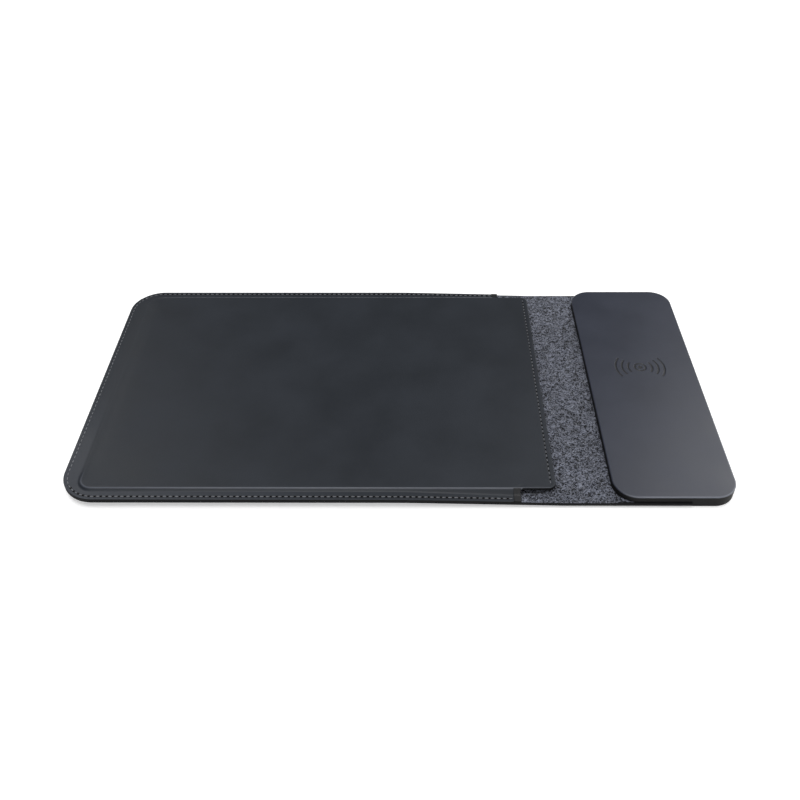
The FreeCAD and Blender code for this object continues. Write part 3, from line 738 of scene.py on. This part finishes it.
class Surface:
    """A Principled material whose colour, roughness and bump come from texture nodes."""

    def __init__(self, name, roughness=0.5, metallic=0.0, specular=0.5):
        self.material = bpy.data.materials.new(name)
        self.material.use_nodes = True
        self.tree = self.material.node_tree
        self.tree.nodes.clear()
        output = self.tree.nodes.new("ShaderNodeOutputMaterial")
        self.shader = self.tree.nodes.new("ShaderNodeBsdfPrincipled")
        self.tree.links.new(self.shader.outputs["BSDF"], output.inputs["Surface"])
        self.set("Roughness", roughness)
        self.set("Metallic", metallic)
        self.set("Specular IOR Level", specular)
        self.coordinates = self.tree.nodes.new("ShaderNodeTexCoord").outputs["Object"]

    def set(self, socket, value):
        self.shader.inputs[socket].default_value = value

    def link(self, output, socket):
        self.tree.links.new(output, self.shader.inputs[socket])

    def feed(self, socket, value):
        """Link an output to a node's socket, or set the socket to a constant."""
        if isinstance(value, bpy.types.NodeSocket):
            self.tree.links.new(value, socket)
        else:
            socket.default_value = value

    def node(self, kind, inputs):
        """New node of this kind, fed from a dictionary of its inputs."""
        node = self.tree.nodes.new("ShaderNode" + kind)
        for name, value in inputs.items():
            self.feed(node.inputs[name], value)
        return node

    def stretched(self, scale, turn=(0.0, 0.0, 0.0)):
        """Coordinates turned first and then stretched, so that streaks follow the turn."""
        turned = self.node("Mapping", {"Vector": self.coordinates, "Rotation": turn})
        sized = self.node("Mapping", {"Vector": turned.outputs["Vector"], "Scale": scale})
        return sized.outputs["Vector"]

    def noise(self, scale, detail=3.0, distortion=0.0, vector=None, rough=0.5):
        return self.node("TexNoise", {
            "Vector": vector or self.coordinates, "Scale": scale, "Detail": detail,
            "Roughness": rough, "Distortion": distortion}).outputs["Fac"]

    def cells(self, scale, feature, vector=None):
        node = self.node("TexVoronoi", {"Vector": vector or self.coordinates, "Scale": scale})
        node.feature = feature
        return node.outputs["Distance"]

    def waves(self, scale, distortion, vector):
        return self.node("TexWave", {"Vector": vector, "Scale": scale,
                                     "Distortion": distortion}).outputs["Fac"]

    def ramp(self, value, *stops):
        """Colour ramp; each stop is (position, colour)."""
        node = self.node("ValToRGB", {"Fac": value})
        elements = node.color_ramp.elements
        while len(elements) < len(stops):
            elements.new(0.5)
        for element, (position, colour) in zip(elements, stops):
            element.position = position
            element.color = colour
        return node.outputs["Color"]

    def span(self, value, low, high, start=0.0, end=1.0):
        """The value moved from the range start to end into the range low to high."""
        return self.node("MapRange", {
            "Value": value, "From Min": start, "From Max": end,
            "To Min": low, "To Max": high}).outputs["Result"]

    def math(self, operation, a, b):
        node = self.tree.nodes.new("ShaderNodeMath")
        node.operation = operation
        for socket, value in zip(node.inputs, (a, b)):
            self.feed(socket, value)
        return node.outputs["Value"]

    def mix(self, share, a, b):
        """Colour between a and b."""
        node = self.tree.nodes.new("ShaderNodeMix")
        node.data_type = "RGBA"
        self.feed(node.inputs["Factor"], share)
        for name, value in (("A", a), ("B", b)):
            self.feed([s for s in node.inputs if s.name == name and s.type == "RGBA"][0], value)
        return [s for s in node.outputs if s.type == "RGBA"][0]

    def marked(self, mark, share):
        """Share of a mark on the mesh: the painted highlight on ridges and rims, or the pressed
        symbol, which takes painted shade.
        """
        node = self.node("Attribute", {})
        node.attribute_name = mark
        return self.math("MULTIPLY", node.outputs["Fac"], share)

    def worn(self, low, high):
        """Share of wear, which grows on edges that stand proud."""
        node = self.node("NewGeometry", {})
        return self.span(node.outputs["Pointiness"], 0.0, 1.0, low, high)

    def bump(self, height, distance):
        node = self.node("Bump", {"Height": height, "Strength": 1.0, "Distance": distance})
        self.link(node.outputs["Normal"], "Normal")


def leather(name, dark, light, highlight_colour, rough_low, rough_high, grain=1150.0, depth=0.00005,
            specular=0.4):
    """Grained leather, with a painted highlight on marked ridges and rims and painted shade in
    the pressed symbol.
    """
    s = Surface(name, specular=specular)
    pebbles = s.cells(grain, "SMOOTH_F1")
    pores = s.noise(grain * 2.6, 4.0)
    creases = s.noise(150.0, 6.0, 0.6)
    mottle = s.noise(26.0, 4.0)
    colour = s.ramp(mottle, (0.3, dark), (0.7, light))
    colour = s.mix(s.span(pebbles, 0.0, 0.35, 0.25, 0.75), colour, dark)
    colour = s.mix(s.math("MULTIPLY", s.worn(0.515, 0.6), 0.3), colour, light)
    # Painted highlight on marked ridges and rims, painted shade in the grooves of the pressed
    # symbol.
    colour = s.mix(s.marked("painted_highlight_and_gloss", 0.9), colour, highlight_colour)
    s.link(s.mix(s.marked("pressed", 0.9), colour, PAINTED_GROOVE_SHADE), "Base Color")
    rough = s.math("ADD", s.span(mottle, rough_low, rough_high, 0.3, 0.7),
                   s.span(pores, -0.04, 0.04, 0.3, 0.7))
    s.link(s.math("SUBTRACT", rough, s.marked("painted_highlight_and_gloss", 0.12)), "Roughness")
    height = s.math("ADD", s.math("MULTIPLY", pebbles, -1.0), s.math("MULTIPLY", pores, 0.35))
    s.bump(s.math("ADD", height, s.math("MULTIPLY", creases, 0.5)), depth)
    return s.material


def edge_paint(name, dark, light):
    """Painted cut edge of the leather, slightly uneven."""
    s = Surface(name, specular=0.12)
    streaks = s.noise(420.0, 4.0, 0.4, s.stretched((0.25, 0.25, 2.5)))
    s.link(s.ramp(streaks, (0.3, dark), (0.75, light)), "Base Color")
    s.link(s.span(streaks, 0.55, 0.75, 0.3, 0.7), "Roughness")
    s.bump(streaks, 0.00006)
    return s.material


def felt(name, shade):
    """Heathered felt: dark and pale fibres pressed together in every direction."""
    s = Surface(name, specular=0.15)
    s.set("Sheen Weight", 0.12)
    s.set("Sheen Roughness", 0.6)
    dark = srgb(10 * shade, 12 * shade, 20 * shade)
    middle = srgb(52 * shade, 57 * shade, 75 * shade)
    pale = srgb(206 * shade, 213 * shade, 236 * shade)
    clumps = s.noise(400.0, 2.0, 1.6, rough=0.55)
    colour = s.ramp(clumps, (0.46, dark), (0.53, middle), (0.62, pale))
    hairs = None
    for turn, scale in ((0.4, 480.0), (1.5, 520.0), (2.5, 450.0)):
        strands = s.noise(scale, 2.0, 0.8, s.stretched((0.6, 2.0, 1.0), (0, 0, turn)))
        strands = s.span(strands, 0.0, 1.0, 0.56, 0.66)
        hairs = strands if hairs is None else s.math("MAXIMUM", hairs, strands)
    colour = s.mix(s.math("MULTIPLY", hairs, 0.8), colour, pale)
    tone = s.noise(60.0, 3.0)
    colour = s.mix(s.span(tone, 0.0, 0.25, 0.35, 0.65), colour, dark)
    s.link(colour, "Base Color")
    s.link(s.span(clumps, 0.85, 0.98, 0.3, 0.7), "Roughness")
    s.bump(s.math("ADD", clumps, s.math("MULTIPLY", hairs, 0.8)), 0.00035)
    return s.material


def fibre(name):
    """Loose hair of the felt."""
    s = Surface(name, roughness=0.8, specular=0.2)
    s.set("Sheen Weight", 0.3)
    tone = s.noise(300.0, 1.0)
    s.link(s.ramp(tone, (0.35, srgb(70, 73, 84)), (0.65, srgb(170, 173, 184))), "Base Color")
    s.link(s.span(tone, 0.7, 0.9), "Roughness")
    s.bump(s.noise(4000.0), 0.00001)
    return s.material


def thread(name, dark, light):
    """Waxed sewing thread: dark, but with a gleam along its top; fine plies round it."""
    s = Surface(name, specular=1.0)
    s.set("Coat Weight", 0.6)
    s.set("Coat Roughness", 0.3)
    plies = s.waves(900.0, 1.2, s.stretched((1.0, 1.0, 1.0), (0.4, 0.3, 0.8)))
    tone = s.noise(240.0, 2.0)
    colour = s.ramp(tone, (0.35, dark), (0.65, light))
    s.link(s.mix(s.span(plies, 0.0, 0.4), colour, dark), "Base Color")
    s.link(s.span(plies, 0.3, 0.42), "Roughness")
    s.bump(plies, 0.00005)
    return s.material


def plastic(name, dark, light, roughness, spark=3200.0, specular=0.45):
    """Moulded plastic with a fine spark-eroded texture and faint handling marks."""
    s = Surface(name, specular=specular)
    grain = s.noise(spark, 3.0, rough=0.6)
    smear = s.noise(34.0, 5.0, 0.8)
    colour = s.ramp(smear, (0.3, dark), (0.7, light))
    colour = s.mix(s.math("MULTIPLY", s.worn(0.52, 0.6), 0.35), colour, light)
    s.link(s.mix(s.span(grain, 0.0, 0.2, 0.35, 0.65), colour, dark), "Base Color")
    s.link(s.math("ADD", s.span(smear, roughness - 0.05, roughness + 0.05, 0.3, 0.7),
                  s.span(grain, -0.05, 0.05, 0.3, 0.7)), "Roughness")
    s.bump(grain, 0.00003)
    return s.material


def metal(name, dark, light, roughness):
    """Rolled or drawn metal with fine streaks."""
    s = Surface(name, metallic=1.0)
    streaks = s.noise(300.0, 4.0, 0.0, s.stretched((1.0, 12.0, 12.0)))
    stain = s.noise(90.0, 3.0)
    s.link(s.ramp(stain, (0.3, dark), (0.7, light)), "Base Color")
    s.link(s.span(streaks, roughness - 0.08, roughness + 0.1, 0.3, 0.7), "Roughness")
    s.bump(streaks, 0.00001)
    return s.material


def rubber(name, dark, light):
    """Anti-slip strip with fine ribs across it."""
    s = Surface(name, specular=0.3)
    ribs = s.waves(330.0, 0.0, s.stretched((1.0, 0.0, 0.0)))
    dust = s.noise(700.0, 4.0)
    s.link(s.ramp(dust, (0.35, dark), (0.75, light)), "Base Color")
    s.link(s.span(dust, 0.75, 0.9, 0.3, 0.7), "Roughness")
    s.bump(s.math("ADD", ribs, s.math("MULTIPLY", dust, 0.3)), 0.0002)
    return s.material


def board_card(name):
    """Grey-brown pulp board."""
    s = Surface(name, specular=0.2)
    pulp = s.noise(600.0, 6.0, 0.8, s.stretched((0.4, 1.6, 1.0)))
    s.link(s.ramp(pulp, (0.3, srgb(92, 84, 72)), (0.7, srgb(128, 118, 102))), "Base Color")
    s.link(s.span(pulp, 0.8, 0.95, 0.3, 0.7), "Roughness")
    s.bump(pulp, 0.0001)
    return s.material


def suede(name):
    """Thin brushed microfibre with a soft nap."""
    s = Surface(name, specular=0.1)
    s.set("Sheen Weight", 0.5)
    nap = s.noise(1400.0, 4.0, 0.5, s.stretched((0.5, 1.4, 1.0), (0, 0, 0.4)))
    strokes = s.noise(45.0, 4.0, 1.2)
    colour = s.ramp(strokes, (0.35, srgb(58, 60, 68)), (0.65, srgb(76, 79, 88)))
    s.link(s.mix(s.span(nap, 0.0, 0.35, 0.35, 0.65), colour, srgb(44, 46, 53)), "Base Color")
    s.link(s.span(nap, 0.85, 0.98), "Roughness")
    s.bump(nap, 0.00012)
    return s.material


def wound_copper(name):
    """Stranded winding: turns of enamelled wire round the middle of the coil."""
    s = Surface(name, metallic=0.85)
    centre = place(SLAB_MID_X, COIL_Y, 0)
    from_centre = s.node("Mapping", {"Vector": s.coordinates,
                                     "Location": (-centre[0], -centre[1], 0)})
    rings = s.node("TexWave", {"Vector": from_centre.outputs["Vector"], "Scale": 140.0})
    rings.wave_type = "RINGS"
    rings.rings_direction = "Z"
    turns = rings.outputs["Fac"]
    strands = s.noise(2600.0, 3.0)
    colour = s.ramp(turns, (0.2, srgb(92, 48, 24)), (0.8, srgb(196, 118, 70)))
    s.link(s.mix(s.span(strands, 0.0, 0.3), colour, srgb(120, 66, 36)), "Base Color")
    s.link(s.span(strands, 0.3, 0.5), "Roughness")
    s.bump(s.math("ADD", turns, s.math("MULTIPLY", strands, 0.3)), 0.0002)
    return s.material


def laminate(name):
    """Circuit board with solder mask over faint tracks."""
    s = Surface(name, specular=0.5)
    tracks = s.cells(420.0, "DISTANCE_TO_EDGE", s.stretched((1.0, 1.0, 0.0)))
    weave = s.noise(1800.0, 2.0)
    mask = s.ramp(tracks, (0.05, srgb(22, 70, 46)), (0.12, srgb(14, 52, 34)))
    s.link(s.mix(s.span(weave, 0.0, 0.2), mask, srgb(10, 40, 26)), "Base Color")
    s.link(s.span(weave, 0.28, 0.42), "Roughness")
    s.bump(tracks, 0.00004)
    return s.material


def clear_rod(name):
    """Clear acrylic with a slight haze."""
    s = Surface(name, roughness=0.15)
    s.set("Transmission Weight", 0.85)
    s.set("IOR", 1.49)
    haze = s.noise(900.0, 2.0)
    s.link(s.ramp(haze, (0.3, srgb(226, 230, 232)), (0.7, srgb(246, 248, 250))), "Base Color")
    s.link(s.span(haze, 0.12, 0.3), "Roughness")
    s.bump(haze, 0.00001)
    return s.material


LEATHER_DARK = srgb(19, 25, 33)
LEATHER_LIGHT = srgb(26, 32, 41)
EDGE_DARK = srgb(14, 14, 15)
EDGE_LIGHT = srgb(24, 24, 26)
# Painted highlight colour for ridges and rims, and painted shade colour for the grooves of the
# pressed symbol.
PAINTED_HIGHLIGHT = srgb(84, 88, 98)
PAINTED_GROOVE_SHADE = srgb(6, 7, 10)

sleeve_leather = leather("sleeve_leather", LEATHER_DARK, LEATHER_LIGHT, PAINTED_HIGHLIGHT, 0.4, 0.48)
tab_leather = leather("tab_leather", srgb(12, 13, 16), srgb(18, 19, 23), PAINTED_HIGHLIGHT, 0.4, 0.5,
                      1500.0)
# The third colour is the painted highlight on the near rim of the slab.
slab_leather = leather("slab_leather", srgb(31, 36, 50), srgb(38, 43, 58),
                       srgb(124, 128, 138), 0.33, 0.39, 1900.0, 0.00002, 0.5)
painted_edge = edge_paint("painted_edge", EDGE_DARK, EDGE_LIGHT)
grey_felt = felt("grey_felt", 0.62)
felt_hair = fibre("felt_hair")
lining_suede = suede("lining_suede")
seam_thread = thread("seam_thread", srgb(56, 58, 64), srgb(98, 101, 108))
hem_thread = thread("hem_thread", srgb(36, 39, 48), srgb(72, 76, 86))
# Painted shadow for the discs in the needle holes.
hole_shadow = edge_paint("hole_shadow", srgb(3, 3, 4), srgb(8, 8, 9))
housing_plastic = plastic("housing_plastic", srgb(11, 11, 12), srgb(17, 17, 18), 0.6,
                          specular=0.15)
foot_rubber = rubber("foot_rubber", srgb(22, 22, 23), srgb(40, 40, 42))

CARRIED = {
    "front_stiffener_board": board_card("board_card"),
    "keeper_discs": metal("keeper_steel", srgb(120, 122, 125), srgb(165, 167, 170), 0.38),
    "slab_bond_tape": plastic("bond_tape", srgb(28, 28, 30), srgb(44, 44, 46), 0.8, 900.0),
    "slab_base": housing_plastic,
    "slab_lid": housing_plastic,
    "bay_foot_strip": foot_rubber,
    "housing_screws": metal("screw_steel", srgb(96, 97, 100), srgb(140, 141, 144), 0.32),
    "closure_magnets": metal("magnet_nickel", srgb(150, 150, 152), srgb(196, 196, 198), 0.24),
    "coil_carrier": plastic("carrier_plastic", srgb(190, 192, 190), srgb(210, 212, 210), 0.5),
    "ferrite_plate": plastic("ferrite", srgb(30, 30, 33), srgb(52, 52, 56), 0.7, 1500.0),
    "transmitter_coil": wound_copper("coil_winding"),
    "coil_leads": wound_copper("coil_lead_wire"),
    "coil_thermistor": plastic("thermistor_bead", srgb(150, 96, 40), srgb(176, 118, 58), 0.35),
    "circuit_board": laminate("board_laminate"),
    "controller_chip": plastic("chip_epoxy", srgb(20, 20, 22), srgb(34, 34, 37), 0.5),
    "bridge_transistors": plastic("transistor_epoxy", srgb(24, 24, 26), srgb(38, 38, 41), 0.48),
    "resonance_capacitors": plastic("capacitor_tan", srgb(158, 122, 84), srgb(184, 148, 108),
                                    0.4),
    "supply_capacitors": plastic("capacitor_brown", srgb(126, 96, 68), srgb(150, 118, 88), 0.4),
    "power_inductor": plastic("inductor_grey", srgb(56, 56, 60), srgb(82, 82, 86), 0.6, 1400.0),
    "status_led": plastic("led_resin", srgb(214, 208, 176), srgb(234, 228, 198), 0.25),
    "led_light_guide": clear_rod("light_guide_clear"),
    "inlet_shell": metal("inlet_steel", srgb(170, 171, 174), srgb(206, 207, 210), 0.28),
    "inlet_tongue": plastic("inlet_plastic", srgb(24, 24, 25), srgb(36, 36, 38), 0.4),
}


def wear(obj, *materials):
    """Give an object these materials, in the order of its material indices."""
    slots = obj.data.materials
    for number, item in enumerate(materials):
        if number < len(slots):
            slots[number] = item
        else:
            slots.append(item)


# -------- put the object together


def crosses(obj):
    """Bake the placement of a piece into its mesh."""
    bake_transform(obj)


def long_sheets():
    """Leather and felt of the back, each in two lengths that meet in the middle of the spine."""
    for kind, outer, inner, skin, cover_node, slot in (
        ("leather", 0.0, LEATHER, sleeve_leather, "back_cover_leather", "shell_leather"),
        ("felt", LEATHER, SHEET, grey_felt, "back_lining_felt", "felt"),
    ):
        sleeve_part = back_sheet(f"sleeve_{kind}_sheet", 0.0, MID_SPINE_X, outer, inner)
        flap_part = back_sheet(f"flap_{kind}_sheet", MID_SPINE_X, FLAP_END_X, outer, inner)
        crosses(sleeve_part)
        crosses(flap_part)
        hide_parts(cover_node, f"spine_{kind}")
        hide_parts(f"flap_{kind}", f"spine_{kind}")
        for part, length in ((sleeve_part, MID_SPINE_X), (flap_part, FLAP_END_X - MID_SPINE_X)):
            wear(part, skin, painted_edge)


def fit(obj, body, node, slot, *materials):
    """Put a piece on its body in place of a CAD node, with its materials; the slot is not used.
    """
    wear(obj, *materials)
    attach(obj, body)
    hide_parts(node)


def pocket_pieces():
    """Front of the pocket: leather, lining, patches, painted shade in the needle holes, and
    stitches.
    """
    panel = pocket_front()
    fit(panel, "sleeve", "front_panel_leather", "shell_leather", sleeve_leather, painted_edge)
    cloth = front_lining_cloth()
    fit(cloth, "sleeve", "front_lining", "lining", lining_suede, lining_suede)
    for side in (-1, 1):
        fit(seam_end_patch(side), "sleeve", "seam_end_tabs", "tab_leather", tab_leather,
            painted_edge)
    seam = seam_stations()
    hem = hem_stations()
    # Discs of painted shade in the needle holes.
    for name, stations, height, node, half_width in (
        ("seam_needle_hole_shade", seam, above_seam(-0.06), "pocket_seam_thread", 1.05),
        ("hem_needle_hole_shade", hem, above_tongue(-0.07), "mouth_hem_thread", 0.72),
    ):
        hole_shade_discs = needle_hole_shade(name, stations, height, half_width)
        fit(hole_shade_discs, "sleeve", node, "thread", hole_shadow)
    for seed, (name, stations, height, node, finish) in enumerate((
        ("seam_stitches_top", seam, above_seam(0.04), "pocket_seam_thread", seam_thread),
        ("seam_stitches_bottom", seam, below_seam(-0.06), "pocket_seam_thread", seam_thread),
        ("hem_stitches", hem, above_tongue(-0.02), "mouth_hem_thread", hem_thread),
    )):
        row = stitches(name, stations, height, seed)
        fit(row, "sleeve", node, "thread", finish)


def fibre_pieces():
    """Loose hairs on the felt, in three groups."""
    for name, x0, x1, count, seed, crease_x, parent, child in (
        ("felt_hairs_mouth", SEAM_END_X, LOWER_CREASE_X, 2600, 21, LOWER_CREASE_X,
         "sleeve", "spine"),
        ("felt_hairs_spine", LOWER_CREASE_X, MID_SPINE_X, 700, 22, LOWER_CREASE_X,
         "sleeve", "spine"),
        ("felt_hairs_flap", MID_SPINE_X, SLAB_START_X - 1, 3200, 23, UPPER_CREASE_X,
         "spine", "flap"),
    ):
        hairs = loose_fibres(name, x0, x1, count, seed)
        crosses(hairs)
        wear(hairs, felt_hair)


def slab_pieces():
    """Skin of the charging slab, and the looks of every part that keeps its CAD shape."""
    skin = slab_skin()
    fit(skin, "flap", "slab_top_skin", "skin", slab_leather, slab_leather)
    for name, finish in CARRIED.items():
        wear(nodes[name], finish)


def studio():
    """Pale floor and soft lights."""
    size = 8.0
    mesh = bpy.data.meshes.new("studio_floor")
    mesh.from_pydata([(-size, -size, 0), (size, -size, 0), (size, size, 0), (-size, size, 0)],
                     [], [(0, 1, 2, 3)])
    floor = bpy.data.objects.new("studio_floor", mesh)
    floor.location = (0, 0, cad_box[0].z - 0.0002)
    scene.collection.objects.link(floor)
    s = Surface("floor_paper", specular=0.1)
    s.link(s.ramp(s.noise(3.0), (0.3, (0.94, 0.94, 0.94, 1)), (0.7, (0.96, 0.96, 0.96, 1))),
           "Base Color")
    s.set("Roughness", 0.9)
    s.set("Emission Color", (1, 1, 1, 1))
    s.set("Emission Strength", 0.35)
    wear(floor, s.material)
    world = bpy.data.worlds.new("studio_world")
    world.use_nodes = True
    world.node_tree.nodes["Background"].inputs["Color"].default_value = (1, 1, 1, 1)
    world.node_tree.nodes["Background"].inputs["Strength"].default_value = 0.25
    scene.world = world
    for name, spot, aim, width, power in (
        ("overhead", (0.0, -0.1, 2.1), (0, 0, 0), 1.7, 26.0),
        ("fill_front", (-0.4, -2.0, 1.5), (0, 0, 0), 1.8, 16.0),
        ("back_left", (-1.25, 1.2, 1.7), (-0.15, 0, 0), 0.8, 6.0),
        ("back_right", (1.25, 1.2, 1.6), (0.2, 0, 0), 0.9, 12.0),
    ):
        light = bpy.data.lights.new(name, "AREA")
        light.size = width
        light.energy = power
        holder = bpy.data.objects.new(name, light)
        holder.location = spot
        holder.rotation_euler = (Vector(aim) - Vector(spot)).to_track_quat("-Z", "Y").to_euler()
        scene.collection.objects.link(holder)


def camera():
    """Camera at the viewing angle of the photo, from a fit to the outline of the object."""
    data = bpy.data.cameras.new("view")
    data.sensor_width = 36.0
    data.lens = 38.71
    data.shift_x = -0.0136
    data.clip_start = 0.01
    eye = bpy.data.objects.new("view", data)
    eye.location = (0.012, -0.5024, 0.4484)
    eye.rotation_euler = (math.radians(47.56), math.radians(0.16), math.radians(0.23))
    scene.collection.objects.link(eye)
    bpy.context.scene.camera = eye


long_sheets()
pocket_pieces()
fibre_pieces()
slab_pieces()
studio()
camera()
scene.view_settings.view_transform = "Standard"

bpy.context.view_layer.update()
